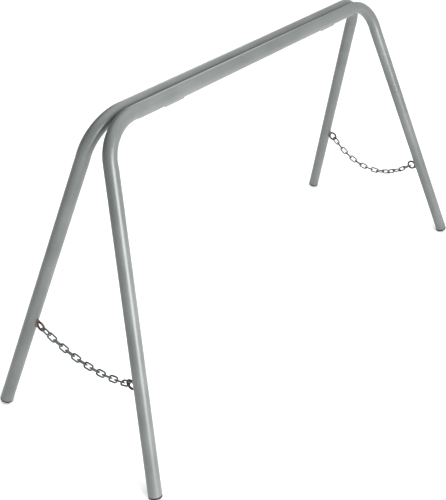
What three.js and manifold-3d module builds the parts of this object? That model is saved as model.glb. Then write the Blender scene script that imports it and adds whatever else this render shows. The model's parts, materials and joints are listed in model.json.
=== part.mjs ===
// Folding sawhorse: two bent-tube frames hinged under their top rails, with a slack chain
// across each end. Millimetres, +Z up, X along the rails, the feet on z = 0, front at -Y.
import * as THREE from 'three';
import { mergeVertices } from 'three/addons/utils/BufferGeometryUtils.js';
import Module from 'manifold-3d';

const wasm = await Module();
wasm.setup();

const degrees = THREE.MathUtils.degToRad;

// ---- Driving dimensions -------------------------------------------------------------------
const TUBE = { outer: 32, wall: 1.5 };
const RAIL_GAP = 0.4; // between the two top rails when the horse stands open
const LEAN = degrees(17.4); // each frame from the vertical
const SPLAY = degrees(13); // each leg outwards, in its frame's own plane
const CORNER_OUT = 500; // mid-length to where the rail's and the leg's lines cross
const CORNER_RADIUS = 95; // bend radius of the tube's centreline
const LEG_DOWN = 786; // rail centreline to the foot's end, straight down the frame's plane

const FLANGE = { thick: 4, edge: 1 }; // the part of a foot plug below its tube, and its chamfer
const SPIGOT = { deep: 22, wall: 2.7 };
const PLUG_GAP = { seat: 0.3, side: 0.5 };

const EYE = { outer: 28, bar: 5.5, rearDown: 523, frontDown: 538 };
const WELD_GAP = 0.3;

const LINK = { wire: 4, innerLong: 21.6, innerWide: 8.4 };
const HOOK_GAP = 0.5; // between an eye and the link that hangs in it
const END_ROLL = 66; // of such a link, in degrees, so that its sides clear the eye's bar
// slack: the least that a chain's length may be, over the distance between its eyes, before it is
// rounded up to whole links. play: between the wires of two links. twist: extra turn, in degrees,
// from one link to the next, for so many links after the first ones.
const LEFT_CHAIN = { slack: 1.02, play: 1.4, firstRoll: 45, twist: { each: 0, after: 0, links: 0 } };
const RIGHT_CHAIN = { slack: 1.11, play: 0.7, firstRoll: -45, twist: { each: 15, after: 7, links: 6 } };

const HINGE = { out: 300, long: 60, knuckle: 10, pin: 5, leafThick: 2.5 };
const LEAF_PAST_RAIL = 3.8; // a leaf's outer edge beyond the rail's lowest line, where it is welded
const LEAF_BELOW_PIN = 2.2; // the most that a leaf's top may lie below the pin and still meet its knuckles
const KNUCKLE_CLEAR = 0.5; // knuckle to tube
const PIN_CLEAR = 0.3; // pin to the wall of its bore
const KNUCKLE_SIDE_GAP = 0.4; // between neighbouring knuckles

// ---- Worked out from them -----------------------------------------------------------------
const tubeRadius = TUBE.outer / 2;
const legDirection = new THREE.Vector3(Math.sin(SPLAY), 0, -Math.cos(SPLAY));
const legSteepness = Math.cos(SPLAY) * Math.cos(LEAN);
const footTilt = Math.sqrt(1 - legSteepness ** 2); // sine of a foot's tilt from level
const footDrop = (tubeRadius - FLANGE.edge) * footTilt; // a foot's low edge, below its centre
const railHeight = LEG_DOWN * Math.cos(LEAN) + footDrop; // rail centreline above the floor
const railSide = (TUBE.outer + RAIL_GAP) / 2; // rail centreline from the middle plane

const PLUG_SIDES = 24;
const TUBE_CURVE_STEPS = 10; // half the sides of a tube
const BEND_STEPS = 11;

const finishes = {
  paint: { color: 0x8b9291, roughness: 0.38, metalness: 0.15 },
  plastic: { color: 0x17181a, roughness: 0.6, metalness: 0 },
  eye: { color: 0x3a3433, roughness: 0.55, metalness: 0.6 },
  chain: { color: 0x6c7072, roughness: 0.42, metalness: 0.85 },
  pin: { color: 0x9a9da0, roughness: 0.35, metalness: 0.9 },
};

function named(name, geometry, finish) {
  const mesh = new THREE.Mesh(geometry, new THREE.MeshStandardMaterial(finishes[finish]));
  mesh.name = name;
  return mesh;
}

// ---- Joining solids -----------------------------------------------------------------------
function solid(geometry) {
  const bare = geometry.clone();
  bare.deleteAttribute('normal');
  bare.deleteAttribute('uv');
  const merged = mergeVertices(bare, 1e-4);
  return new wasm.Manifold(new wasm.Mesh({
    numProp: 3,
    vertProperties: new Float32Array(merged.attributes.position.array),
    triVerts: new Uint32Array(merged.index.array),
  }));
}

function joined(geometries) {
  const whole = geometries.map(solid).reduce((sum, next) => sum.add(next));
  const mesh = whole.getMesh();
  const geometry = new THREE.BufferGeometry();
  geometry.setAttribute('position', new THREE.BufferAttribute(mesh.vertProperties, 3));
  geometry.setIndex(new THREE.BufferAttribute(mesh.triVerts, 1));
  geometry.computeVertexNormals();
  return geometry;
}

// ---- Tube frame ---------------------------------------------------------------------------
// A bent tube's centreline, known at its stations: its ends, and each step round its bends.
class BentLine extends THREE.Curve {
  constructor(points, tangents) {
    super();
    this.points = points;
    this.tangents = tangents;
  }
  station(u) {
    return Math.round(u * (this.points.length - 1));
  }
  getPointAt(u, target = new THREE.Vector3()) {
    return target.copy(this.points[this.station(u)]);
  }
  getTangentAt(u, target = new THREE.Vector3()) {
    return target.copy(this.tangents[this.station(u)]);
  }
}

// In the frame's own plane, XZ: the rail along X through the origin, the legs downwards.
function frameGeometry() {
  const turn = Math.PI / 2 - SPLAY;
  const setBack = CORNER_RADIUS * Math.tan(turn / 2);
  const bendStart = CORNER_OUT - setBack;
  const tubeEnd = LEG_DOWN / Math.cos(SPLAY) - FLANGE.thick - PLUG_GAP.seat;
  const half = [];
  for (let i = 0; i <= BEND_STEPS; i += 1) {
    const a = (turn * i) / BEND_STEPS;
    const x = bendStart + CORNER_RADIUS * Math.sin(a);
    const z = -CORNER_RADIUS * (1 - Math.cos(a));
    half.push({ point: [x, z], tangent: [Math.cos(a), -Math.sin(a)] });
  }
  const corner = new THREE.Vector2(CORNER_OUT, 0);
  const end = corner.add(new THREE.Vector2(legDirection.x, legDirection.z).multiplyScalar(tubeEnd));
  half.push({ point: [end.x, end.y], tangent: [legDirection.x, legDirection.z] });

  const left = half.map(({ point, tangent }) => ({
    point: [-point[0], point[1]],
    tangent: [tangent[0], -tangent[1]],
  }));
  const stations = [...left.reverse(), ...half];
  const points = stations.map((s) => new THREE.Vector3(s.point[0], 0, s.point[1]));
  const tangents = stations.map((s) => new THREE.Vector3(s.tangent[0], 0, s.tangent[1]));

  const section = new THREE.Shape().absarc(0, 0, tubeRadius, 0, 2 * Math.PI);
  section.holes.push(new THREE.Path().absarc(0, 0, tubeRadius - TUBE.wall, 0, 2 * Math.PI, true));
  return new THREE.ExtrudeGeometry(section, {
    curveSegments: TUBE_CURVE_STEPS,
    steps: points.length - 1,
    extrudePath: new BentLine(points, tangents),
  });
}

// A foot plug, turned about Y: a flange as wide as the tube and a cup that goes up into it.
function footPlugGeometry() {
  const cup = tubeRadius - TUBE.wall - PLUG_GAP.side;
  const bore = cup - SPIGOT.wall;
  const { thick, edge } = FLANGE;
  const top = thick + SPIGOT.deep;
  const floor = thick + SPIGOT.wall;
  const profile = [
    [0, 0], [tubeRadius - edge, 0], [tubeRadius, edge], [tubeRadius, thick], [cup, thick],
    [cup, top - edge], [cup - edge, top], [bore, top], [bore, floor], [0, floor],
  ];
  return new THREE.LatheGeometry(profile.map(([r, y]) => new THREE.Vector2(r, y)), PLUG_SIDES);
}

const xAxis = new THREE.Vector3(1, 0, 0);
const yAxis = new THREE.Vector3(0, 1, 0);
const zAxis = new THREE.Vector3(0, 0, 1);
const eyeRingRadius = (EYE.outer - EYE.bar) / 2;
const eyeOffset = tubeRadius + WELD_GAP + EYE.outer / 2; // eye centre from its leg's centreline

// One frame with what is welded or pushed onto it. side: -1 front, 1 rear.
function frameGroup(side, sideName, eyeDown) {
  const group = new THREE.Group();
  group.position.set(0, side * railSide, railHeight);
  group.rotation.x = side * LEAN;
  const floorward = new THREE.Vector3(0, 0, -1).applyEuler(new THREE.Euler(-side * LEAN, 0, 0));
  group.add(named(`${sideName}_frame`, frameGeometry(), 'paint'));
  for (const [end, endName] of [[-1, 'left'], [1, 'right']]) {
    const down = new THREE.Vector3(end * legDirection.x, 0, legDirection.z);
    const corner = new THREE.Vector3(end * CORNER_OUT, 0, 0);
    const legAt = (depth) => corner.clone().addScaledVector(down, depth / Math.cos(SPLAY));

    const plug = named(`${sideName}_${endName}_foot_plug`, footPlugGeometry(), 'plastic');
    plug.position.copy(legAt(LEG_DOWN));
    const up = down.clone().negate();
    const lowest = floorward.clone().projectOnPlane(down).normalize();
    const sideways = new THREE.Vector3().crossVectors(up, lowest);
    plug.quaternion.setFromRotationMatrix(new THREE.Matrix4().makeBasis(sideways, up, lowest));
    group.add(plug);

    const ring = new THREE.TorusGeometry(eyeRingRadius, EYE.bar / 2, 8, 20);
    const eye = named(`${sideName}_${endName}_chain_eye`, ring, 'eye');
    eye.position.copy(legAt(eyeDown)).addScaledVector(yAxis, -side * eyeOffset);
    eye.quaternion.setFromRotationMatrix(new THREE.Matrix4().makeBasis(yAxis, zAxis, xAxis));
    group.add(eye);
  }
  return group;
}

// ---- Chains -------------------------------------------------------------------------------
// A link is a ring of wire parted at its middle and drawn out lengthways, along X. The ring's
// stations straddle the middle, so its sides are set out again to the link's full width.
function linkGeometry() {
  const stations = 14;
  const bend = (LINK.innerWide + LINK.wire) / 2;
  const halfStraight = (LINK.innerLong - LINK.innerWide) / 2;
  const widen = 1 / Math.cos(Math.PI / stations);
  const geometry = new THREE.TorusGeometry(bend, LINK.wire / 2, 6, stations);
  const position = geometry.attributes.position;
  for (let i = 0; i < position.count; i += 1) {
    const x = position.getX(i);
    position.setXY(i, x + Math.sign(x) * halfStraight, position.getY(i) * widen);
  }
  geometry.computeVertexNormals();
  return geometry;
}

function bisect(low, high, tooLow) {
  for (let i = 0; i < 60; i += 1) {
    const middle = (low + high) / 2;
    if (tooLow(middle)) low = middle;
    else high = middle;
  }
  return (low + high) / 2;
}

// The slope of each link of a hanging chain that spans and rises as given. The links weigh the
// same, so the tangent of the slope grows by one step from each link to the next.
function hangingSlopes(lengths, span, rise) {
  const total = (values) => values.reduce((sum, value) => sum + value, 0);
  const slopes = (step, level) => lengths.map((_, i) => Math.atan(step * (i - level)));
  const across = (all) => total(all.map((slope, i) => lengths[i] * Math.cos(slope)));
  const up = (all) => total(all.map((slope, i) => lengths[i] * Math.sin(slope)));
  const count = lengths.length;
  const levelFor = (s) => bisect(-count, 2 * count, (level) => up(slopes(s, level)) > rise);
  const step = bisect(1e-4, 4, (s) => across(slopes(s, levelFor(s))) > span);
  return slopes(step, levelFor(step));
}

// The links between two eyes, from the rear one to the front one.
function chain(name, { slack, play, firstRoll, twist }, rearEye, frontEye) {
  const group = new THREE.Group();
  const pitch = LINK.innerLong - play;
  const endWire = eyeRingRadius - EYE.bar / 2 - HOOK_GAP - LINK.wire / 2; // from an eye's centre
  const lead = endWire + (LINK.innerLong + LINK.wire) / 2; // an end link's centre, from the same
  const links = 1 + Math.ceil((rearEye.distanceTo(frontEye) * slack - 2 * lead) / pitch);
  const atEnd = (i) => i === 0 || i === links - 1;
  const lengths = Array.from({ length: links }, (_, i) => (atEnd(i) ? lead + pitch / 2 : pitch));
  const slopes = hangingSlopes(lengths, rearEye.y - frontEye.y, frontEye.z - rearEye.z);
  const whole = lengths.reduce((sum, length) => sum + length, 0);

  const joint = rearEye.clone();
  let passed = 0;
  for (let i = 0; i < links; i += 1) {
    const along = new THREE.Vector3(0, -Math.cos(slopes[i]), Math.sin(slopes[i]));
    const toCentre = i === 0 ? lead : pitch / 2;
    const centre = joint.clone().addScaledVector(along, toCentre);
    centre.x = THREE.MathUtils.lerp(rearEye.x, frontEye.x, (passed + toCentre) / whole);
    const twisted = THREE.MathUtils.clamp(i + 1 - twist.after, 0, twist.links);
    const free = (i % 2 ? -firstRoll : firstRoll) + twist.each * twisted;
    const roll = degrees(atEnd(i) ? Math.sign(free) * END_ROLL : free);
    const normal = xAxis.clone().applyAxisAngle(along, roll);
    const acrossLink = new THREE.Vector3().crossVectors(normal, along);

    const link = named(`${name}_link_${String(i + 1).padStart(2, '0')}`, linkGeometry(), 'chain');
    link.position.copy(centre);
    link.quaternion.setFromRotationMatrix(new THREE.Matrix4().makeBasis(along, acrossLink, normal));
    group.add(link);
    joint.addScaledVector(along, lengths[i]);
    passed += lengths[i];
  }
  return group;
}

// ---- Hinges -------------------------------------------------------------------------------
const knuckleRadius = HINGE.knuckle / 2;
const clearOfRails = Math.sqrt((tubeRadius + KNUCKLE_CLEAR + knuckleRadius) ** 2 - railSide ** 2);
const levelWithLeaves = tubeRadius + WELD_GAP - LEAF_BELOW_PIN;
const pivotBelowRail = Math.max(clearOfRails, levelWithLeaves);
const leafReach = railSide + LEAF_PAST_RAIL; // from the pin's middle plane
const leafTop = pivotBelowRail - tubeRadius - WELD_GAP; // above the pivot, so mostly negative

// A shape drawn in the YZ plane, as [y, z], and pushed from x = from to x = to.
function alongX(shape, from, to) {
  const settings = { depth: to - from, bevelEnabled: false, curveSegments: 8 };
  const geometry = new THREE.ExtrudeGeometry(shape, settings);
  const turned = new THREE.Matrix4().makeBasis(
    new THREE.Vector3(0, 1, 0), new THREE.Vector3(0, 0, 1), new THREE.Vector3(1, 0, 0),
  );
  return geometry.applyMatrix4(turned.setPosition(from, 0, 0));
}

function rectangle(y0, y1, z0, z1) {
  const corners = [[y0, z0], [y1, z0], [y1, z1], [y0, z1]];
  return new THREE.Shape(corners.map(([y, z]) => new THREE.Vector2(y, z)));
}

// One leaf about its pin, at the origin. spans: where its knuckles are, along X.
function leafGeometry(side, spans) {
  const plateIn = knuckleRadius + 1;
  const leafBottom = leafTop - HINGE.leafThick;
  const bore = HINGE.pin / 2 + PIN_CLEAR;
  const strip = (near, far) => {
    const [y0, y1] = side > 0 ? [near, far] : [-far, -near];
    return rectangle(y0, y1, leafBottom, leafTop);
  };
  const pieces = [alongX(strip(plateIn, leafReach), -HINGE.long / 2, HINGE.long / 2)];
  const tabIn = (bore + knuckleRadius) / 2; // a tab runs from the plate into its knuckle's wall
  for (const [from, to] of spans) {
    const ring = new THREE.Shape().absarc(0, 0, knuckleRadius, 0, 2 * Math.PI);
    ring.holes.push(new THREE.Path().absarc(0, 0, bore, 0, 2 * Math.PI, true));
    pieces.push(alongX(ring, from, to));
    pieces.push(alongX(strip(tabIn, plateIn + 1), from, to));
  }
  return joined(pieces);
}

// The pin, turned about Y, with a peened head past each end of the knuckles.
function pinGeometry() {
  const radius = HINGE.pin / 2;
  const head = { radius: knuckleRadius - 1, thick: 1.6, gap: KNUCKLE_SIDE_GAP };
  const half = HINGE.long / 2 + head.gap;
  const end = half + head.thick;
  const profile = [
    [0, -end], [head.radius - 0.6, -end], [head.radius, -end + 0.6], [head.radius, -half], [radius, -half],
    [radius, half], [head.radius, half], [head.radius, end - 0.6], [head.radius - 0.6, end], [0, end],
  ];
  return new THREE.LatheGeometry(profile.map(([r, y]) => new THREE.Vector2(r, y)), 16);
}

function hinge(name, x) {
  const group = new THREE.Group();
  group.position.set(x, 0, railHeight - pivotBelowRail);
  const third = HINGE.long / 3;
  const half = HINGE.long / 2;
  const gap = KNUCKLE_SIDE_GAP / 2;
  const outer = [[-half, -third / 2 - gap], [third / 2 + gap, half]];
  const middle = [[-third / 2 + gap, third / 2 - gap]];
  group.add(named(`${name}_hinge_front_leaf`, leafGeometry(-1, outer), 'paint'));
  group.add(named(`${name}_hinge_rear_leaf`, leafGeometry(1, middle), 'paint'));
  const pin = named(`${name}_hinge_pin`, pinGeometry(), 'pin');
  pin.rotation.z = -Math.PI / 2;
  group.add(pin);
  return group;
}

// ---- The whole sawhorse -------------------------------------------------------------------
const sawhorse = new THREE.Group();
const frontFrame = frameGroup(-1, 'front', EYE.frontDown);
const rearFrame = frameGroup(1, 'rear', EYE.rearDown);
sawhorse.add(frontFrame, rearFrame);
sawhorse.updateMatrixWorld(true);

const place = (group, name) => group.getObjectByName(name).getWorldPosition(new THREE.Vector3());
for (const [name, parts] of [['left', LEFT_CHAIN], ['right', RIGHT_CHAIN]]) {
  const rearEye = place(rearFrame, `rear_${name}_chain_eye`);
  const frontEye = place(frontFrame, `front_${name}_chain_eye`);
  sawhorse.add(chain(`${name}_chain`, parts, rearEye, frontEye));
}
sawhorse.add(hinge('left', -HINGE.out), hinge('right', HINGE.out));

export default sawhorse;
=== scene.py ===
"""Folding sawhorse of bent steel tube: enamelled frames, foot plugs, welded eyes, chains and hinges."""
import json
from math import atan2, cos, pi, radians, sin, tan

import bmesh
import bpy
import numpy as np
from mathutils import Matrix, Vector


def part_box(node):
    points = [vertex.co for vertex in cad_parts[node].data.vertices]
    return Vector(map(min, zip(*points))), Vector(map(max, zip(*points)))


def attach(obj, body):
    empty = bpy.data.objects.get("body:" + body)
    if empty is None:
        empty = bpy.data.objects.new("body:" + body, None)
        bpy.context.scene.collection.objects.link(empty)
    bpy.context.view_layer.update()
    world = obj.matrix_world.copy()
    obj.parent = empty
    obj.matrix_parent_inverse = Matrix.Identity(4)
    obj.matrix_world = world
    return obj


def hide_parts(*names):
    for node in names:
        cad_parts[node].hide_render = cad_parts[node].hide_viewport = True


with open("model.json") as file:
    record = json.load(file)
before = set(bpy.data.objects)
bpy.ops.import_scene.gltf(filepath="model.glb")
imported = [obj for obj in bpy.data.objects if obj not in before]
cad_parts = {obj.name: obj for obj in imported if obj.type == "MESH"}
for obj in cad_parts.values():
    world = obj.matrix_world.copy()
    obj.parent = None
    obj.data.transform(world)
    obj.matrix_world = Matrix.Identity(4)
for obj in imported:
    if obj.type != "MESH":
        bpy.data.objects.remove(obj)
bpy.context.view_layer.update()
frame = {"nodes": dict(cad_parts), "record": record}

MM = 0.001

# ---- Camera -------------------------------------------------------------------------------
# A camera a good step away from the horse's left end, at about head height, that looks down
# along it, so that the near frame's rail runs away up to the right.
camera_place = Vector((-1.5177, -1.1668, 1.4720))
camera_turn, camera_dip, camera_roll = radians(52.82), radians(32.56), radians(-0.1)
level = cos(camera_dip)
view_line = Vector((sin(camera_turn) * level, cos(camera_turn) * level, -sin(camera_dip)))
camera_data = bpy.data.cameras.new("camera")
camera_data.lens = 60.11
camera_data.shift_x, camera_data.shift_y = -0.07005, -0.03941
camera = bpy.data.objects.new("camera", camera_data)
bpy.context.collection.objects.link(camera)
facing = view_line.to_track_quat("-Z", "Y").to_matrix().to_4x4()
camera.matrix_world = Matrix.Translation(camera_place) @ facing @ Matrix.Rotation(camera_roll, 4, "Z")
bpy.context.scene.camera = camera

# ---- Floor and lights ---------------------------------------------------------------------
# A white studio floor under a dome that is bright at the camera's right and dim at its left, a
# broad soft light overhead, a low one at the camera's right that draws the pale streak down each
# leg, and a weak one on the far side of the horse.
bpy.ops.object.select_all(action="DESELECT")
bpy.ops.mesh.primitive_plane_add(size=40)
floor = bpy.context.object
floor.name = "floor"
floor_white = bpy.data.materials.new("floor_white")
floor_white.use_nodes = True
floor_shader = floor_white.node_tree.nodes["Principled BSDF"]
floor_shader.inputs["Base Color"].default_value = (0.95, 0.95, 0.95, 1)
floor_shader.inputs["Roughness"].default_value = 0.9
floor_shader.inputs["Specular IOR Level"].default_value = 0.1
floor.data.materials.append(floor_white)

studio = bpy.data.worlds.new("studio")
studio.use_nodes = True
dome_nodes, dome_links = studio.node_tree.nodes, studio.node_tree.links
dome_way = dome_nodes.new("ShaderNodeVectorMath")
dome_way.operation = "DOT_PRODUCT"
dome_way.inputs[1].default_value = (0.6, -0.8, 0)
dome_links.new(dome_nodes.new("ShaderNodeTexCoord").outputs["Generated"], dome_way.inputs[0])
dome_fade = dome_nodes.new("ShaderNodeMapRange")
dome_fade.interpolation_type = "SMOOTHSTEP"
dome_fade.inputs["From Min"].default_value = -0.9
dome_fade.inputs["From Max"].default_value = 0.6
dome_fade.inputs["To Min"].default_value = 0.2
dome_fade.inputs["To Max"].default_value = 1.0
dome_links.new(dome_way.outputs["Value"], dome_fade.inputs["Value"])
dome_seen = dome_nodes.new("ShaderNodeMix")  # the dome lights unevenly but is seen as plain and pale
dome_seen.inputs["B"].default_value = 0.9
dome_links.new(dome_nodes.new("ShaderNodeLightPath").outputs["Is Camera Ray"], dome_seen.inputs["Factor"])
dome_links.new(dome_fade.outputs["Result"], dome_seen.inputs["A"])
dome_links.new(dome_seen.outputs["Result"], dome_nodes["Background"].inputs["Strength"])
dome_nodes["Background"].inputs["Color"].default_value = (0.97, 0.985, 1.0, 1)
bpy.context.scene.world = studio
bpy.context.scene.view_settings.view_transform = "Standard"


def area_light(name, place, aim, width, height, watts, colour):
    data = bpy.data.lights.new(name, "AREA")
    data.shape = "RECTANGLE"
    data.size, data.size_y = width, height
    data.energy = watts
    data.color = colour
    light = bpy.data.objects.new(name, data)
    bpy.context.collection.objects.link(light)
    light.location = place
    light.rotation_euler = (Vector(aim) - Vector(place)).to_track_quat("-Z", "Y").to_euler()


area_light("overhead_light", (0.2, 0, 4.0), (0.2, 0, 0), 5.0, 5.0, 140, (1, 1, 1))
area_light("streak_light", (-1.0, -3.0, 0.9), (-0.5, 0, 0.4), 1.5, 2.0, 170, (0.96, 0.98, 1.0))
area_light("back_light", (2.2, 2.4, 1.8), (0, 0, 0.4), 1.2, 1.6, 14, (1, 1, 1))

# ---- Tube frames --------------------------------------------------------------------------
# Each frame is one length of 32 mm welded steel tube, bent twice on a press so that the bends'
# inner sides are pulled a little flat, sprayed with grey enamel that has worn at the corners.
NOMINAL_R = 16 * MM
TUBE_R = 15.95 * MM  # a hair under nominal, so that the tube stays inside the CAD's box
TUBE_WALL = 1.5 * MM
SECTION_SIDES = 48
RAIL_Y = 16.2 * MM
RAIL_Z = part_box("front_frame")[1].z - NOMINAL_R
LEAN = radians(17.4)
SPLAY = radians(13)
CORNER_X = 500 * MM
BEND_R = 95 * MM
BEND_TURN = pi / 2 - SPLAY
BEND_STEPS = 22
EASE = 14 * MM  # the straight length over which the section goes from round to flattened
FLATTENED = 0.955
LEG_DOWN = 786 * MM  # from the rail's centreline to the foot's end, straight down the frame's plane
PLUG_SEAT = 4.3 * MM  # a plug's 4 mm flange and the 0.3 mm gap above it
LEG_END = LEG_DOWN / cos(SPLAY) - PLUG_SEAT
MERGE_WITHIN = 0.02 * MM
NEAR = 0.1 * MM  # how close a point has to lie to a plane or a radius to be taken as on it


def select_only(obj):
    bpy.ops.object.select_all(action="DESELECT")
    obj.select_set(True)
    bpy.context.view_layer.objects.active = obj


def settle(obj):
    """Puts a finished piece's place into its mesh, with its object at the origin."""
    select_only(obj)
    bpy.ops.object.transform_apply(location=True, rotation=True, scale=True)


def apply_modifiers(obj):
    select_only(obj)
    for modifier in list(obj.modifiers):
        bpy.ops.object.modifier_apply(modifier=modifier.name)


def shade_smooth(obj, sharp_degrees=40):
    select_only(obj)
    bpy.ops.object.shade_smooth_by_angle(angle=radians(sharp_degrees))


def last_ring_centre(obj):
    mesh = bmesh.from_edit_mesh(obj.data)
    places = [v.co for v in mesh.verts if v.select]
    return sum(places, Vector()) / len(places)


def squeeze(outer_point, share):
    """Flattens the selected ring of tube in the plane of the bend, keeping its outer side in place."""
    away = (outer_point - last_ring_centre(bpy.context.edit_object)).normalized()
    turn = atan2(away.z, away.x)
    bpy.ops.transform.rotate(value=turn, orient_axis="Y", center_override=outer_point)
    bpy.ops.transform.resize(value=(share, 1, 1), center_override=outer_point)
    bpy.ops.transform.rotate(value=-turn, orient_axis="Y", center_override=outer_point)


def bend_tube(name):
    """One frame in the upright plane y = 0, its rail along X through the origin, its legs downwards."""
    bpy.ops.object.select_all(action="DESELECT")
    bpy.ops.mesh.primitive_circle_add(vertices=SECTION_SIDES, radius=TUBE_R, rotation=(0, pi / 2, 0))
    tube = bpy.context.object
    tube.name = name
    bpy.ops.object.transform_apply(location=False, rotation=True, scale=False)
    set_back = BEND_R * tan(BEND_TURN / 2)
    bend_start = CORNER_X - set_back
    leg_way = Vector((sin(SPLAY), 0, -cos(SPLAY)))
    bpy.ops.object.mode_set(mode="EDIT")
    bpy.ops.mesh.select_all(action="SELECT")
    for step in (bend_start - EASE, EASE):
        bpy.ops.mesh.extrude_region_move(TRANSFORM_OT_translate={"value": (step, 0, 0)})
    squeeze(Vector((bend_start, 0, TUBE_R)), FLATTENED)
    bpy.ops.mesh.spin(steps=BEND_STEPS, angle=-BEND_TURN, center=(bend_start, 0, -BEND_R), axis=(0, 1, 0))
    straight = LEG_END - set_back
    bpy.ops.mesh.extrude_region_move(TRANSFORM_OT_translate={"value": leg_way * EASE})
    outward = Vector((cos(SPLAY), 0, sin(SPLAY)))
    bend_end = Vector((CORNER_X, 0, 0)) + leg_way * (set_back + EASE)
    squeeze(bend_end + outward * TUBE_R, 1 / FLATTENED)
    bpy.ops.mesh.extrude_region_move(TRANSFORM_OT_translate={"value": leg_way * (straight - EASE)})
    bpy.ops.mesh.select_all(action="SELECT")
    bpy.ops.mesh.normals_make_consistent(inside=False)
    bpy.ops.object.mode_set(mode="OBJECT")
    mirror = tube.modifiers.new("other_half", "MIRROR")
    mirror.use_axis = (True, False, False)
    mirror.merge_threshold = 0.05 * MM
    apply_modifiers(tube)
    bpy.ops.object.mode_set(mode="EDIT")
    bpy.ops.mesh.select_all(action="SELECT")
    bpy.ops.mesh.remove_doubles(threshold=MERGE_WITHIN)
    bpy.ops.mesh.normals_make_consistent(inside=False)
    bpy.ops.object.mode_set(mode="OBJECT")
    wall = tube.modifiers.new("tube_wall", "SOLIDIFY")
    wall.thickness = TUBE_WALL
    wall.offset = -1
    apply_modifiers(tube)
    return tube


frame_tubes = {}
for side_name, side in (("front", -1), ("rear", 1)):
    tube = bend_tube(f"{side_name}_tube")
    tube.location = (0, side * RAIL_Y, RAIL_Z)
    tube.rotation_euler = (side * LEAN, 0, 0)
    settle(tube)
    shade_smooth(tube)
    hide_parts(f"{side_name}_frame")
    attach(tube, side_name)
    frame_tubes[side_name] = tube


def group_socket(group, name, direction, kind, value=None):
    socket = group.interface.new_socket(name=name, in_out=direction, socket_type=kind)
    if value is not None:
        socket.default_value = value


def blend_colours(nodes, links, factor, first, second):
    mix = nodes.new("ShaderNodeMix")
    mix.data_type = "RGBA"
    links.new(factor, mix.inputs["Factor"])
    for source, target in ((first, mix.inputs["A"]), (second, mix.inputs["B"])):
        if isinstance(source, tuple):
            target.default_value = source
        else:
            links.new(source, target)
    return mix.outputs["Result"]


def ramp(nodes, links, source, low, high):
    """0 below low, 1 above high."""
    spread = nodes.new("ShaderNodeMapRange")
    spread.inputs["From Min"].default_value = low
    spread.inputs["From Max"].default_value = high
    links.new(source, spread.inputs["Value"])
    return spread.outputs["Result"]


def patches(name):
    """Soft cloudy patches, with fine specks in them, as a mask and as a height."""
    group = bpy.data.node_groups.new(name, "ShaderNodeTree")
    group_socket(group, "Place", "INPUT", "NodeSocketVector")
    group_socket(group, "Patch Size", "INPUT", "NodeSocketFloat", 12.0)
    group_socket(group, "Speck Size", "INPUT", "NodeSocketFloat", 400.0)
    group_socket(group, "Patches", "OUTPUT", "NodeSocketFloat")
    group_socket(group, "Specks", "OUTPUT", "NodeSocketFloat")
    nodes, links = group.nodes, group.links
    inside, outside = nodes.new("NodeGroupInput"), nodes.new("NodeGroupOutput")
    broad, fine = nodes.new("ShaderNodeTexNoise"), nodes.new("ShaderNodeTexNoise")
    broad.inputs["Detail"].default_value = 5
    fine.inputs["Detail"].default_value = 3
    for noise, size in ((broad, "Patch Size"), (fine, "Speck Size")):
        links.new(inside.outputs["Place"], noise.inputs["Vector"])
        links.new(inside.outputs[size], noise.inputs["Scale"])
    links.new(broad.outputs["Fac"], outside.inputs["Patches"])
    links.new(fine.outputs["Fac"], outside.inputs["Specks"])
    return group


cloudy_patches = patches("cloudy_patches")


def edge_wear(name):
    """A mask that is high on outer edges and corners, broken up by noise."""
    group = bpy.data.node_groups.new(name, "ShaderNodeTree")
    group_socket(group, "Place", "INPUT", "NodeSocketVector")
    group_socket(group, "Break Up", "INPUT", "NodeSocketFloat", 90.0)
    group_socket(group, "From", "INPUT", "NodeSocketFloat", 0.52)
    group_socket(group, "To", "INPUT", "NodeSocketFloat", 0.6)
    group_socket(group, "Worn", "OUTPUT", "NodeSocketFloat")
    nodes, links = group.nodes, group.links
    inside, outside = nodes.new("NodeGroupInput"), nodes.new("NodeGroupOutput")
    geometry = nodes.new("ShaderNodeNewGeometry")
    noise = nodes.new("ShaderNodeTexNoise")
    noise.inputs["Detail"].default_value = 4
    links.new(inside.outputs["Place"], noise.inputs["Vector"])
    links.new(inside.outputs["Break Up"], noise.inputs["Scale"])
    shift = nodes.new("ShaderNodeMath")
    shift.operation = "MULTIPLY_ADD"
    shift.inputs[1].default_value = 0.12
    shift.inputs[2].default_value = -0.06
    links.new(noise.outputs["Fac"], shift.inputs[0])
    total = nodes.new("ShaderNodeMath")
    total.operation = "ADD"
    links.new(geometry.outputs["Pointiness"], total.inputs[0])
    links.new(shift.outputs["Value"], total.inputs[1])
    spread = nodes.new("ShaderNodeMapRange")
    links.new(total.outputs["Value"], spread.inputs["Value"])
    links.new(inside.outputs["From"], spread.inputs["From Min"])
    links.new(inside.outputs["To"], spread.inputs["From Max"])
    links.new(spread.outputs["Result"], outside.inputs["Worn"])
    return group


worn_edges = edge_wear("worn_edges")


def place_group(nodes, links, group, place, values):
    node = nodes.new("ShaderNodeGroup")
    node.node_tree = group
    links.new(place, node.inputs["Place"])
    for name, value in values.items():
        node.inputs[name].default_value = value
    return node


def new_material(name):
    material = bpy.data.materials.new(name)
    material.use_nodes = True
    nodes, links = material.node_tree.nodes, material.node_tree.links
    place = nodes.new("ShaderNodeTexCoord").outputs["Object"]
    return material, nodes, links, nodes["Principled BSDF"], place


def bump(nodes, links, height, shader, strength, distance):
    relief = nodes.new("ShaderNodeBump")
    relief.inputs["Strength"].default_value = strength
    relief.inputs["Distance"].default_value = distance
    links.new(height, relief.inputs["Height"])
    links.new(relief.outputs["Normal"], shader.inputs["Normal"])


def roughness_between(nodes, links, source, low, high, shader):
    spread = nodes.new("ShaderNodeMapRange")
    spread.inputs["To Min"].default_value = low
    spread.inputs["To Max"].default_value = high
    links.new(source, spread.inputs["Value"])
    links.new(spread.outputs["Result"], shader.inputs["Roughness"])


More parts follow.
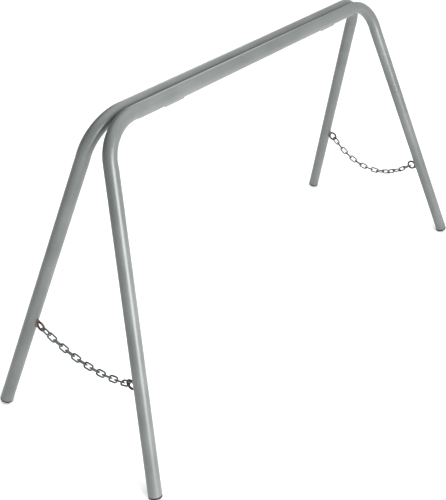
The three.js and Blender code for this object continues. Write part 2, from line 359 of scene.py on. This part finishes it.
def grey_enamel():
    """Sprayed enamel: a soft orange peel, cloudy dulling, small dark specks and worn edges."""
    material, nodes, links, shader, place = new_material("grey_enamel")
    shader.inputs["Coat Weight"].default_value = 0.2
    shader.inputs["Coat Roughness"].default_value = 0.3
    cloud = place_group(nodes, links, cloudy_patches, place, {"Patch Size": 9.0, "Speck Size": 700.0})
    broad = ramp(nodes, links, cloud.outputs["Patches"], 0.35, 0.7)
    tint = blend_colours(nodes, links, broad, (0.083, 0.091, 0.085, 1), (0.116, 0.124, 0.118, 1))
    scuffed = ramp(nodes, links, cloud.outputs["Specks"], 0.66, 0.74)
    tint = blend_colours(nodes, links, scuffed, tint, (0.055, 0.052, 0.048, 1))
    worn = place_group(nodes, links, worn_edges, place, {"Break Up": 120.0, "From": 0.6, "To": 0.7})
    tint = blend_colours(nodes, links, worn.outputs["Worn"], tint, (0.09, 0.085, 0.08, 1))
    links.new(tint, shader.inputs["Base Color"])
    roughness_between(nodes, links, cloud.outputs["Patches"], 0.32, 0.48, shader)
    bump(nodes, links, cloud.outputs["Specks"], shader, 0.08, 0.4 * MM)
    return material


enamel = grey_enamel()
for tube in frame_tubes.values():
    tube.data.materials.append(enamel)

# ---- Foot plugs ---------------------------------------------------------------------------
# A black plastic plug in each square-cut leg end: a flange about as wide as the tube, and a plain
# cup that is pushed up inside it. Moulded, with a shallow recess in the face towards the floor.
FLANGE = 4 * MM
FLANGE_R = 15.85 * MM  # trimmed for the same reason as the tube
PLUG_CUP_R = 14 * MM
PLUG_CUP_TALL = 22 * MM
PLUG_CUP_WALL = 2.7 * MM
RIM_WIDTH = 3 * MM
RECESS = 0.5 * MM
RECESS_SLOPE = 0.6 * MM
FLANGE_FOOT_EDGE = 1.2 * MM
FLANGE_TOP_EDGE = 0.3 * MM
FACING = 0.9  # the least share of a face's normal along Z for it to count as an end face
feet = {m["name"]: m for m in frame["record"]["mounts"]}


def select_faces(obj, chosen):
    """Selects, in edit mode, the faces whose centre and normal pass the test."""
    bpy.ops.mesh.select_mode(type="FACE")
    bpy.ops.mesh.select_all(action="DESELECT")
    mesh = bmesh.from_edit_mesh(obj.data)
    for face in mesh.faces:
        face.select_set(chosen(face.calc_center_median(), face.normal))
    mesh.select_flush_mode()
    bmesh.update_edit_mesh(obj.data)


def select_edges(obj, chosen):
    """Selects, in edit mode, the edges both of whose ends pass the test."""
    bpy.ops.mesh.select_mode(type="EDGE")
    bpy.ops.mesh.select_all(action="DESELECT")
    mesh = bmesh.from_edit_mesh(obj.data)
    for edge in mesh.edges:
        edge.select_set(all(chosen(v.co) for v in edge.verts))
    bmesh.update_edit_mesh(obj.data)


def mould_plug(name):
    """A plug stood upright on the origin."""
    bpy.ops.object.select_all(action="DESELECT")
    bpy.ops.mesh.primitive_cylinder_add(
        vertices=64, radius=FLANGE_R, depth=FLANGE, location=(0, 0, FLANGE / 2),
    )
    plug = bpy.context.object
    plug.name = name
    bpy.ops.object.transform_apply(location=True, rotation=False, scale=False)
    bpy.ops.object.mode_set(mode="EDIT")
    select_faces(plug, lambda centre, normal: normal.z > FACING)
    bpy.ops.mesh.inset(thickness=FLANGE_R - PLUG_CUP_R)
    bpy.ops.mesh.extrude_region_move(TRANSFORM_OT_translate={"value": (0, 0, PLUG_CUP_TALL)})
    bpy.ops.mesh.inset(thickness=PLUG_CUP_WALL)
    bpy.ops.mesh.extrude_region_move(TRANSFORM_OT_translate={"value": (0, 0, PLUG_CUP_WALL - PLUG_CUP_TALL)})
    select_faces(plug, lambda centre, normal: normal.z < -FACING)
    bpy.ops.mesh.inset(thickness=RIM_WIDTH)
    bpy.ops.mesh.inset(thickness=RECESS_SLOPE, depth=-RECESS)
    select_edges(plug, lambda p: p.z < NEAR and p.xy.length > FLANGE_R - NEAR)
    bpy.ops.mesh.bevel(offset=FLANGE_FOOT_EDGE, segments=4)
    select_edges(plug, lambda p: abs(p.z - FLANGE) < NEAR and p.xy.length > FLANGE_R - NEAR)
    bpy.ops.mesh.bevel(offset=FLANGE_TOP_EDGE, segments=2)
    bpy.ops.object.mode_set(mode="OBJECT")
    return plug


def black_plastic():
    """Moulded polythene, dusty in patches and scuffed grey along its edges."""
    material, nodes, links, shader, place = new_material("black_plastic")
    cloud = place_group(nodes, links, cloudy_patches, place, {"Patch Size": 60.0, "Speck Size": 1500.0})
    dusty = ramp(nodes, links, cloud.outputs["Patches"], 0.45, 0.75)
    tint = blend_colours(nodes, links, dusty, (0.008, 0.008, 0.009, 1), (0.018, 0.0175, 0.017, 1))
    worn = place_group(nodes, links, worn_edges, place, {"Break Up": 300.0, "From": 0.62, "To": 0.74})
    tint = blend_colours(nodes, links, worn.outputs["Worn"], tint, (0.05, 0.047, 0.045, 1))
    links.new(tint, shader.inputs["Base Color"])
    shader.inputs["Specular IOR Level"].default_value = 0.1
    roughness_between(nodes, links, cloud.outputs["Specks"], 0.5, 0.7, shader)
    bump(nodes, links, cloud.outputs["Specks"], shader, 0.25, 0.2 * MM)
    return material


plug_black = black_plastic()
for foot_name, foot in feet.items():
    plug = mould_plug(f"{foot_name}_plug_moulding")
    up_the_leg = -Vector(foot["axis"])
    plug.rotation_euler = up_the_leg.to_track_quat("Z", "Y").to_euler()
    plug.location = foot["pos_m"]
    settle(plug)
    shade_smooth(plug)
    plug.data.materials.append(plug_black)
    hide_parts(f"{foot_name}_plug")
    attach(plug, foot_name.split("_")[0])

# ---- Chain eyes and their welds -----------------------------------------------------------
# A ring of 5.5 mm bar stands on the inner side of each leg, welded to it by hand after the tube
# was cut, so that the bar is burnt dark and the weld is a lumpy bead with rust in it.
EYE_R = 11.25 * MM
EYE_BAR_R = 2.75 * MM
WELD_OUT = 14.6 * MM  # from an eye's centre to just inside the leg's surface
BAR_SHARE, TUBE_SHARE = 0.45, 0.55  # where a lump's centre lies, between the bar and the tube
BEAD_WOBBLE = 0.5 * MM
BEAD_VOXEL = 0.45 * MM
# Each lump of a weld: how far round the eye it sits, in degrees downwards, and its radius in mm.
WELD_LUMPS = (
    (-74, 2.6), (-56, 3.3), (-38, 3.6), (-18, 3.2),
    (0, 2.8), (18, 3.1), (38, 3.5), (56, 2.9),
)
CORNERS = {"left": -1, "right": 1}


def lumps(name, places, radii, voxel):
    """One closed body grown from overlapping round lumps, softened where they run together."""
    bpy.ops.object.select_all(action="DESELECT")
    made = []
    for place, radius in zip(places, radii):
        bpy.ops.mesh.primitive_ico_sphere_add(subdivisions=3, radius=radius, location=place)
        made.append(bpy.context.object)
    for lump in made:
        lump.select_set(True)
    bpy.context.view_layer.objects.active = made[0]
    bpy.ops.object.join()
    body = bpy.context.object
    body.name = name
    settle(body)
    grow = body.modifiers.new("run_together", "REMESH")
    grow.mode = "VOXEL"
    grow.voxel_size = voxel
    soften = body.modifiers.new("soften", "SMOOTH")
    soften.factor, soften.iterations = 0.5, 3
    apply_modifiers(body)
    select_only(body)
    bpy.ops.object.shade_smooth()
    return body


def burnt_steel():
    """Mild steel bar, darkened and browned by welding heat, brighter on its outer edges."""
    material, nodes, links, shader, place = new_material("burnt_steel")
    cloud = place_group(nodes, links, cloudy_patches, place, {"Patch Size": 130.0, "Speck Size": 900.0})
    scorched = ramp(nodes, links, cloud.outputs["Patches"], 0.4, 0.62)
    tint = blend_colours(nodes, links, scorched, (0.03, 0.028, 0.029, 1), (0.085, 0.055, 0.042, 1))
    worn = place_group(nodes, links, worn_edges, place, {"Break Up": 400.0, "From": 0.56, "To": 0.68})
    tint = blend_colours(nodes, links, worn.outputs["Worn"], tint, (0.3, 0.3, 0.31, 1))
    links.new(tint, shader.inputs["Base Color"])
    shader.inputs["Metallic"].default_value = 0.6
    roughness_between(nodes, links, cloud.outputs["Patches"], 0.38, 0.62, shader)
    bump(nodes, links, cloud.outputs["Specks"], shader, 0.3, 0.25 * MM)
    return material


def rusty_weld():
    """Weld metal that was painted over thinly and has since rusted through."""
    material, nodes, links, shader, place = new_material("rusty_weld")
    cloud = place_group(nodes, links, cloudy_patches, place, {"Patch Size": 220.0, "Speck Size": 1100.0})
    rusted = ramp(nodes, links, cloud.outputs["Patches"], 0.38, 0.56)
    tint = blend_colours(nodes, links, rusted, (0.085, 0.072, 0.068, 1), (0.26, 0.115, 0.07, 1))
    pale = ramp(nodes, links, cloud.outputs["Specks"], 0.55, 0.7)
    tint = blend_colours(nodes, links, pale, tint, (0.26, 0.22, 0.19, 1))
    links.new(tint, shader.inputs["Base Color"])
    shader.inputs["Metallic"].default_value = 0.25
    roughness_between(nodes, links, cloud.outputs["Specks"], 0.5, 0.8, shader)
    bump(nodes, links, cloud.outputs["Specks"], shader, 0.6, 0.5 * MM)
    return material


eye_steel, weld_metal = burnt_steel(), rusty_weld()
for side_name, side in (("front", -1), ("rear", 1)):
    outward = Vector((0, side * cos(LEAN), sin(LEAN)))
    down_leg = Vector((0, side * sin(LEAN), -cos(LEAN)))
    for end_name, end in CORNERS.items():
        low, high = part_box(f"{side_name}_{end_name}_chain_eye")
        centre = (low + high) / 2
        bpy.ops.object.select_all(action="DESELECT")
        bpy.ops.mesh.primitive_torus_add(
            major_radius=EYE_R, minor_radius=EYE_BAR_R, major_segments=56, minor_segments=18,
            location=centre, rotation=(0, pi / 2, 0),
        )
        eye = bpy.context.object
        eye.name = f"{side_name}_{end_name}_eye_ring"
        settle(eye)
        shade_smooth(eye)
        eye.data.materials.append(eye_steel)
        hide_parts(f"{side_name}_{end_name}_chain_eye")
        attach(eye, side_name)

        bead_places, bead_sizes = [], []
        for angle, size in WELD_LUMPS:
            turn = radians(angle)
            on_bar = centre + outward * (EYE_R * cos(turn)) + down_leg * (EYE_R * sin(turn))
            on_tube = centre + outward * WELD_OUT + down_leg * (EYE_R * sin(turn))
            on_tube.x += end * tan(SPLAY) * EYE_R * sin(turn)
            wobble = Vector((BEAD_WOBBLE * sin(7 * turn), 0, 0))
            bead_places.append(on_bar * BAR_SHARE + on_tube * TUBE_SHARE + wobble)
            bead_sizes.append(size * MM)
        bead = lumps(f"{side_name}_{end_name}_eye_weld", bead_places, bead_sizes, BEAD_VOXEL)
        bead.data.materials.append(weld_metal)
        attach(bead, side_name)

# ---- Chains -------------------------------------------------------------------------------
# Short-link chain of 4 mm zinc-plated wire, dulled by use. Each link is a bent wire closed by a
# butt weld in the middle of one side, which leaves a small swelling there.
WIRE_R = 2 * MM
LINK_BEND_R = 6.2 * MM
LINK_HALF_STRAIGHT = 6.6 * MM
LINK_WELD_HALF = 1.5 * MM
LINK_WELD_SWELL = 1.14


def forge_link():
    """A link in the XY plane about the origin, its length along X and its weld on the +Y side."""
    bpy.ops.object.select_all(action="DESELECT")
    bend_steps = 36
    bpy.ops.mesh.primitive_torus_add(
        major_radius=LINK_BEND_R, minor_radius=WIRE_R, major_segments=bend_steps, minor_segments=14,
        rotation=(0, 0, pi / bend_steps),
    )
    link = bpy.context.object
    bpy.ops.object.transform_apply(location=False, rotation=True, scale=False)
    bpy.ops.object.mode_set(mode="EDIT")
    bpy.ops.mesh.select_mode(type="VERT")
    for half in (-1, 1):
        bpy.ops.mesh.select_all(action="DESELECT")
        mesh = bmesh.from_edit_mesh(link.data)
        for vertex in mesh.verts:
            vertex.select_set(vertex.co.x * half > 0)
        mesh.select_flush_mode()
        bmesh.update_edit_mesh(link.data)
        bpy.ops.transform.translate(value=(half * LINK_HALF_STRAIGHT, 0, 0))
    for cut in (-LINK_WELD_HALF, 0, LINK_WELD_HALF):
        bpy.ops.mesh.select_all(action="SELECT")
        bpy.ops.mesh.bisect(plane_co=(cut, 0, 0), plane_no=(1, 0, 0))
    bpy.ops.mesh.select_all(action="DESELECT")
    mesh = bmesh.from_edit_mesh(link.data)
    for vertex in mesh.verts:
        vertex.select_set(abs(vertex.co.x) < NEAR and vertex.co.y > 0)
    mesh.select_flush_mode()
    bmesh.update_edit_mesh(link.data)
    bpy.ops.transform.resize(
        value=(1, LINK_WELD_SWELL, LINK_WELD_SWELL), center_override=(0, LINK_BEND_R, 0),
    )
    bpy.ops.object.mode_set(mode="OBJECT")
    select_only(link)
    bpy.ops.object.shade_smooth()
    return link


def dull_zinc():
    """Bright zinc plating gone grey in patches, brighter on its outer edges."""
    material, nodes, links, shader, place = new_material("dull_zinc")
    cloud = place_group(nodes, links, cloudy_patches, place, {"Patch Size": 90.0, "Speck Size": 1300.0})
    dull = ramp(nodes, links, cloud.outputs["Patches"], 0.35, 0.65)
    tint = blend_colours(nodes, links, dull, (0.055, 0.061, 0.065, 1), (0.13, 0.138, 0.143, 1))
    worn = place_group(nodes, links, worn_edges, place, {"Break Up": 500.0, "From": 0.55, "To": 0.66})
    tint = blend_colours(nodes, links, worn.outputs["Worn"], tint, (0.42, 0.43, 0.43, 1))
    links.new(tint, shader.inputs["Base Color"])
    shader.inputs["Metallic"].default_value = 0.8
    roughness_between(nodes, links, cloud.outputs["Patches"], 0.3, 0.5, shader)
    bump(nodes, links, cloud.outputs["Specks"], shader, 0.15, 0.15 * MM)
    return material


def lie_of(node):
    """Where a link lies: a matrix whose axes are its length, its width and its thickness."""
    points = np.array([v.co for v in frame["nodes"][node].data.vertices])
    centre = points.mean(axis=0)
    _, ways = np.linalg.eigh(np.cov((points - centre).T))
    along, wide = Vector(ways[:, 2]), Vector(ways[:, 1])
    along *= 1 if along.y < 0 else -1
    wide *= 1 if wide.z > 0 else -1
    turn = Matrix((along, wide, along.cross(wide))).transposed()
    return Matrix.Translation(centre) @ turn.to_4x4()


zinc = dull_zinc()
pattern_link = forge_link()
pattern_link.data.materials.append(zinc)
for node in sorted(n for n in frame["nodes"] if "_chain_link_" in n):
    link = bpy.data.objects.new(node.replace("_chain_link_", "_wire_link_"), pattern_link.data.copy())
    bpy.context.collection.objects.link(link)
    link.matrix_world = lie_of(node)
    settle(link)
    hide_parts(node)
    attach(link, node.replace("_chain_link_", "_link_"))
bpy.data.objects.remove(pattern_link)

# ---- Hinges -------------------------------------------------------------------------------
# Two butt hinges under the rails, each of two pressed leaves with rolled knuckles and a pin that
# is peened over at both ends. The leaves are stitch-welded to the rails and painted with them.
STITCH_OUT = 17 * MM  # from the leaf's middle to the middle of each weld
STITCH_STEP = 2.2 * MM
STITCH_LUMPS = 8
STITCH_RIPPLE = 0.3 * MM
STITCH_SINK = 0.2 * MM  # how far a weld's middle lies below the leaf's top
STITCH_VOXEL = 0.35 * MM
LEAF_BELOW_RAIL = 0.3 * MM
BROKEN_EDGE = 0.35 * MM


def turned_steel():
    """Bright pin steel, browning a little."""
    material, nodes, links, shader, place = new_material("turned_steel")
    cloud = place_group(nodes, links, cloudy_patches, place, {"Patch Size": 80.0, "Speck Size": 900.0})
    dull = ramp(nodes, links, cloud.outputs["Patches"], 0.4, 0.7)
    tint = blend_colours(nodes, links, dull, (0.42, 0.42, 0.43, 1), (0.2, 0.18, 0.165, 1))
    links.new(tint, shader.inputs["Base Color"])
    shader.inputs["Metallic"].default_value = 0.9
    roughness_between(nodes, links, cloud.outputs["Specks"], 0.25, 0.45, shader)
    return material


pin_bright = turned_steel()
for end_name, end in CORNERS.items():
    for part, paint in (("front_leaf", enamel), ("rear_leaf", enamel), ("pin", pin_bright)):
        leaf = frame["nodes"][f"{end_name}_hinge_{part}"]
        leaf.data.materials.clear()
        leaf.data.materials.append(paint)
        leaf.modifiers.new("merge", "WELD").merge_threshold = 0.01 * MM
        edges = leaf.modifiers.new("broken_edges", "BEVEL")
        edges.width, edges.segments = BROKEN_EDGE, 2
        edges.limit_method, edges.angle_limit = "ANGLE", radians(35)
        edges.harden_normals = True
        for polygon in leaf.data.polygons:
            polygon.use_smooth = True

    for side_name, side in (("front", -1), ("rear", 1)):
        low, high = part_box(f"{end_name}_hinge_{side_name}_leaf")
        middle_x = (low.x + high.x) / 2
        leaf_edge = high.y if side > 0 else -low.y
        leaf_top = RAIL_Z - TUBE_R - LEAF_BELOW_RAIL
        for stitch, stitch_x in (("left", middle_x - STITCH_OUT), ("right", middle_x + STITCH_OUT)):
            places, sizes = [], []
            for k in range(STITCH_LUMPS):
                ripple = STITCH_RIPPLE * sin(2.1 * k + end + side)
                along = stitch_x + (k - (STITCH_LUMPS - 1) / 2) * STITCH_STEP
                places.append((along, side * (leaf_edge + ripple), leaf_top - STITCH_SINK))
                sizes.append((1.4 + 0.2 * sin(3.3 * k)) * MM)
            stitches = lumps(f"{end_name}_hinge_{side_name}_{stitch}_weld", places, sizes, STITCH_VOXEL)
            stitches.data.materials.append(enamel)
            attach(stitches, side_name)
